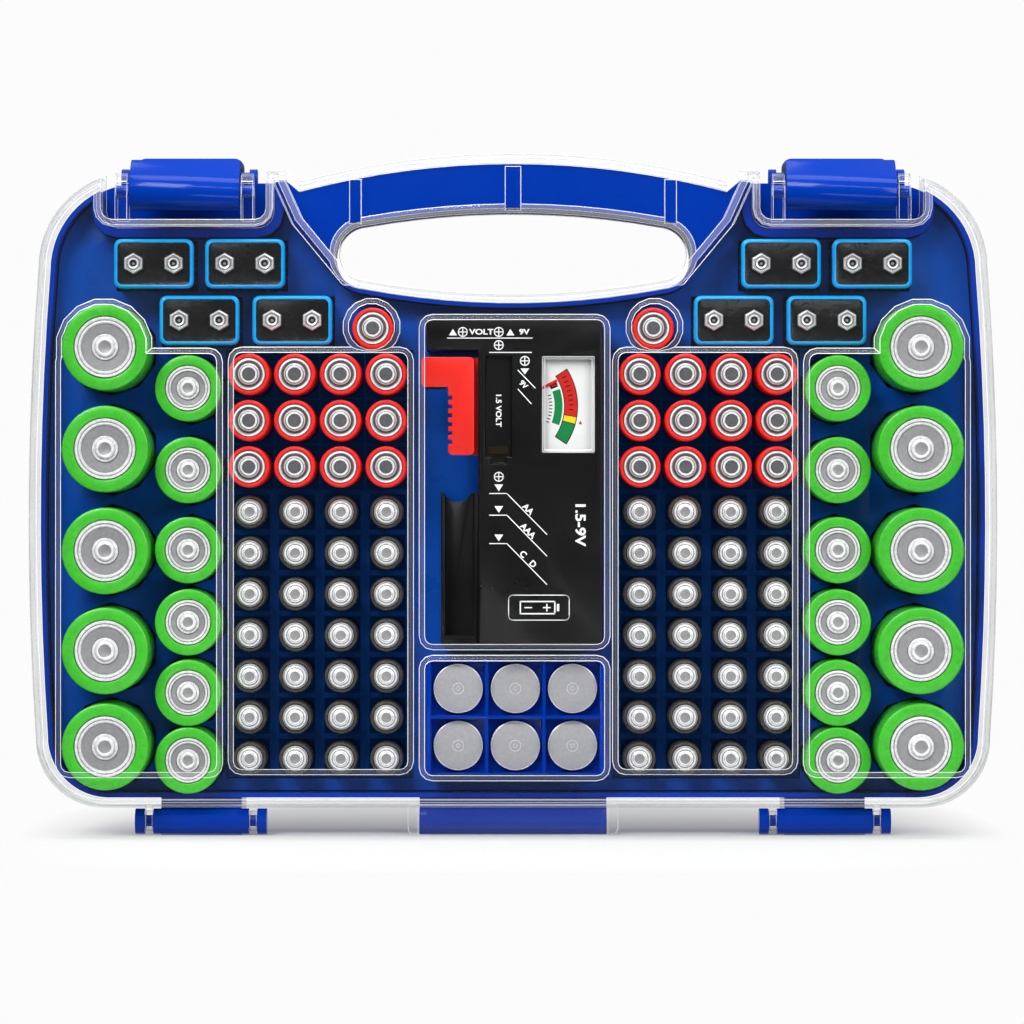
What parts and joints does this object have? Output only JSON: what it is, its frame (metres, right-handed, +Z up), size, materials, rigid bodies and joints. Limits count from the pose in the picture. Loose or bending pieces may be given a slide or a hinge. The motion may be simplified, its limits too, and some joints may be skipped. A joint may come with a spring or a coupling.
{
  "type": "battery storage case",
  "caption": "Upright carry case with a hinged clear cover, two latches, sockets for household cells and a plug-in cell tester.",
  "frame": {"origin": "middle of the footprint, on the plane that the hinge feet stand on", "axes": "+Z up through the handle, +X to the viewer's right, the clear cover faces -Y"},
  "size_m": [0.3682, 0.0676, 0.2594],
  "materials": {
    "blue_plastic": "glossy moulded blue plastic",
    "clear_plastic": "clear moulded plastic",
    "black_plastic": "semi-gloss black plastic",
    "red_plastic": "red moulded plastic",
    "meter_glass": "clear moulded plastic",
    "dial_card": "matt white",
    "needle_paint": "thin red enamel",
    "brass_contact": "bare brass",
    "steel_parts": "bare steel",
    "ceramic_part": "matt ceramic",
    "green_jacket": "printed film over a metal can",
    "red_jacket": "printed film over a metal can",
    "black_jacket": "printed film over a metal can",
    "nine_volt_jacket": "printed film over a metal can",
    "coin_steel": "stamped stainless steel"
  },
  "bodies": {
    "case": {"tray": "blue_plastic", "socket_deck": "blue_plastic", "cell_grid_left": "blue_plastic", "cell_grid_right": "blue_plastic", "coin_tray": "blue_plastic", "tester_front": "black_plastic", "tester_back": "black_plastic", "lower_contact": "brass_contact", "meter_window": "meter_glass", "meter_dial": "dial_card", "meter_movement": "black_plastic", "nine_volt_contacts": "brass_contact", "button_contact": "brass_contact", "load_resistor": "ceramic_part", "tester_screws": "steel_parts", "d_cells": "green_jacket", "c_cells": "green_jacket", "aa_cells": "red_jacket", "aaa_cells": "black_jacket", "nine_volt_cells": "nine_volt_jacket", "nine_volt_snaps": "steel_parts", "coin_cells": "coin_steel"},
    "cover": {"cover": "clear_plastic"},
    "latch_left": {"latch_left": "blue_plastic"},
    "latch_right": {"latch_right": "blue_plastic"},
    "slider": {"tester_slider": "red_plastic", "slider_contact": "brass_contact"},
    "needle": {"meter_needle": "needle_paint"}
  },
  "joints": [
    {"name": "cover_hinge", "type": "hinge", "parent": "case", "child": "cover", "pos_m": [0, -0.00375, 0.0052], "axis": [1, 0, 0], "range_deg": [0, 180]},
    {"name": "latch_left_pivot", "type": "hinge", "parent": "cover", "child": "latch_left", "pos_m": [-0.12375, -0.022, 0.244], "axis": [1, 0, 0], "range_deg": [0, 100]},
    {"name": "latch_right_pivot", "type": "hinge", "parent": "cover", "child": "latch_right", "pos_m": [0.12375, -0.022, 0.244], "axis": [1, 0, 0], "range_deg": [0, 100]},
    {"name": "slider_slide", "type": "slide", "parent": "case", "child": "slider", "axis": [0, 0, -1], "range_m": [0, 0.052]},
    {"name": "needle_pivot", "type": "hinge", "parent": "case", "child": "needle", "pos_m": [-0.0016, -0.0229, 0.16305], "axis": [0, 1, 0], "range_deg": [0, 61], "stiffness_Nm_per_rad": 0.00005, "springref_deg": -11.46}
  ]
}
